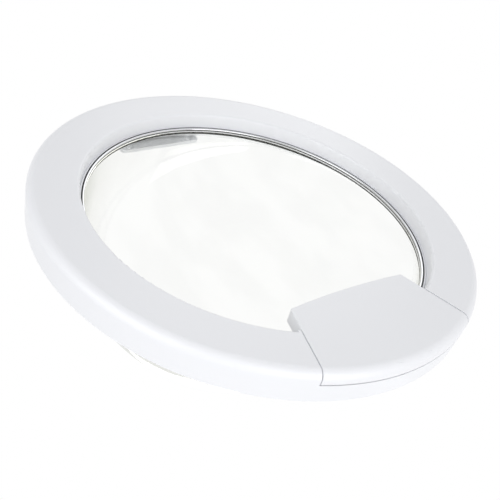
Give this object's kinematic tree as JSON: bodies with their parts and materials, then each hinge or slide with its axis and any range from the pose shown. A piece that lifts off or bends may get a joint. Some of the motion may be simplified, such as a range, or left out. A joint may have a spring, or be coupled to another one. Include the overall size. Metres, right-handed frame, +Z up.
{
  "type": "washing machine door",
  "caption": "Round front-loader door: white gloss ring with flush pull handle and latch hook, chrome trim, clear glass bowl with slanted floor, and side hinge on a screw-on plate.",
  "frame": {"origin": "centre of the hinge plate's four screw holes, on the plate's back face, which lies on the cabinet", "axes": "+Z up as installed, -Y towards the user, +X to the right from the hinge to the handle"},
  "size_m": [0.4686, 0.1396, 0.4686],
  "materials": {
    "white_gloss": "smooth gloss moulding",
    "white_satin": "satin moulding",
    "pale_grey": "fine-grained moulding",
    "chrome": "bright plating",
    "seal_rubber": "matt pale silicone rubber",
    "clear_glass": "clear pressed glass",
    "cast_alloy": "fine cast surface",
    "steel": "bright zinc plating",
    "plated_steel": "zinc plating",
    "spring_steel": "drawn wire",
    "bush_plastic": "plain acetal"
  },
  "bodies": {
    "hinge_mount": {"hinge_plate": "cast_alloy", "hinge_pin": "steel"},
    "door": {"outer_frame": "white_gloss", "inner_frame": "pale_grey", "trim_ring": "chrome", "glass_seal": "seal_rubber", "glass_bowl": "clear_glass", "frame_screws": "steel", "hinge_bracket_upper": "cast_alloy", "hinge_bracket_lower": "cast_alloy", "hinge_bush_upper": "bush_plastic", "hinge_bush_lower": "bush_plastic", "hinge_screws": "steel", "handle_pin": "steel", "handle_spring": "spring_steel", "latch_bracket": "plated_steel", "latch_pin": "steel", "latch_spring": "spring_steel", "latch_screws": "steel"},
    "handle": {"handle": "white_gloss", "handle_liner": "white_satin", "handle_lever": "cast_alloy"},
    "latch": {"latch_hook": "plated_steel"}
  },
  "joints": [
    {"name": "door_swing", "type": "hinge", "parent": "hinge_mount", "child": "door", "pos_m": [-0.025, -0.022, 0], "axis": [0, 0, -1], "range_deg": [0, 130]},
    {"name": "handle_pull", "type": "hinge", "parent": "door", "child": "handle", "pos_m": [0.4225, -0.0325, 0], "axis": [0, 0, 1], "range_deg": [0, 6], "stiffness_Nm_per_rad": 3, "springref_deg": -5.73, "deforming": ["handle_spring"]},
    {"name": "latch_turn", "type": "hinge", "parent": "door", "child": "latch", "pos_m": [0.40935, -0.0155, 0], "axis": [0, 0, -1], "range_deg": [0, 15], "stiffness_Nm_per_rad": 0.3, "springref_deg": -11.46, "deforming": ["latch_spring"]}
  ],
  "couplings": [
    {"joint": "latch_turn", "follows": "handle_pull", "ratio": 2.5}
  ]
}
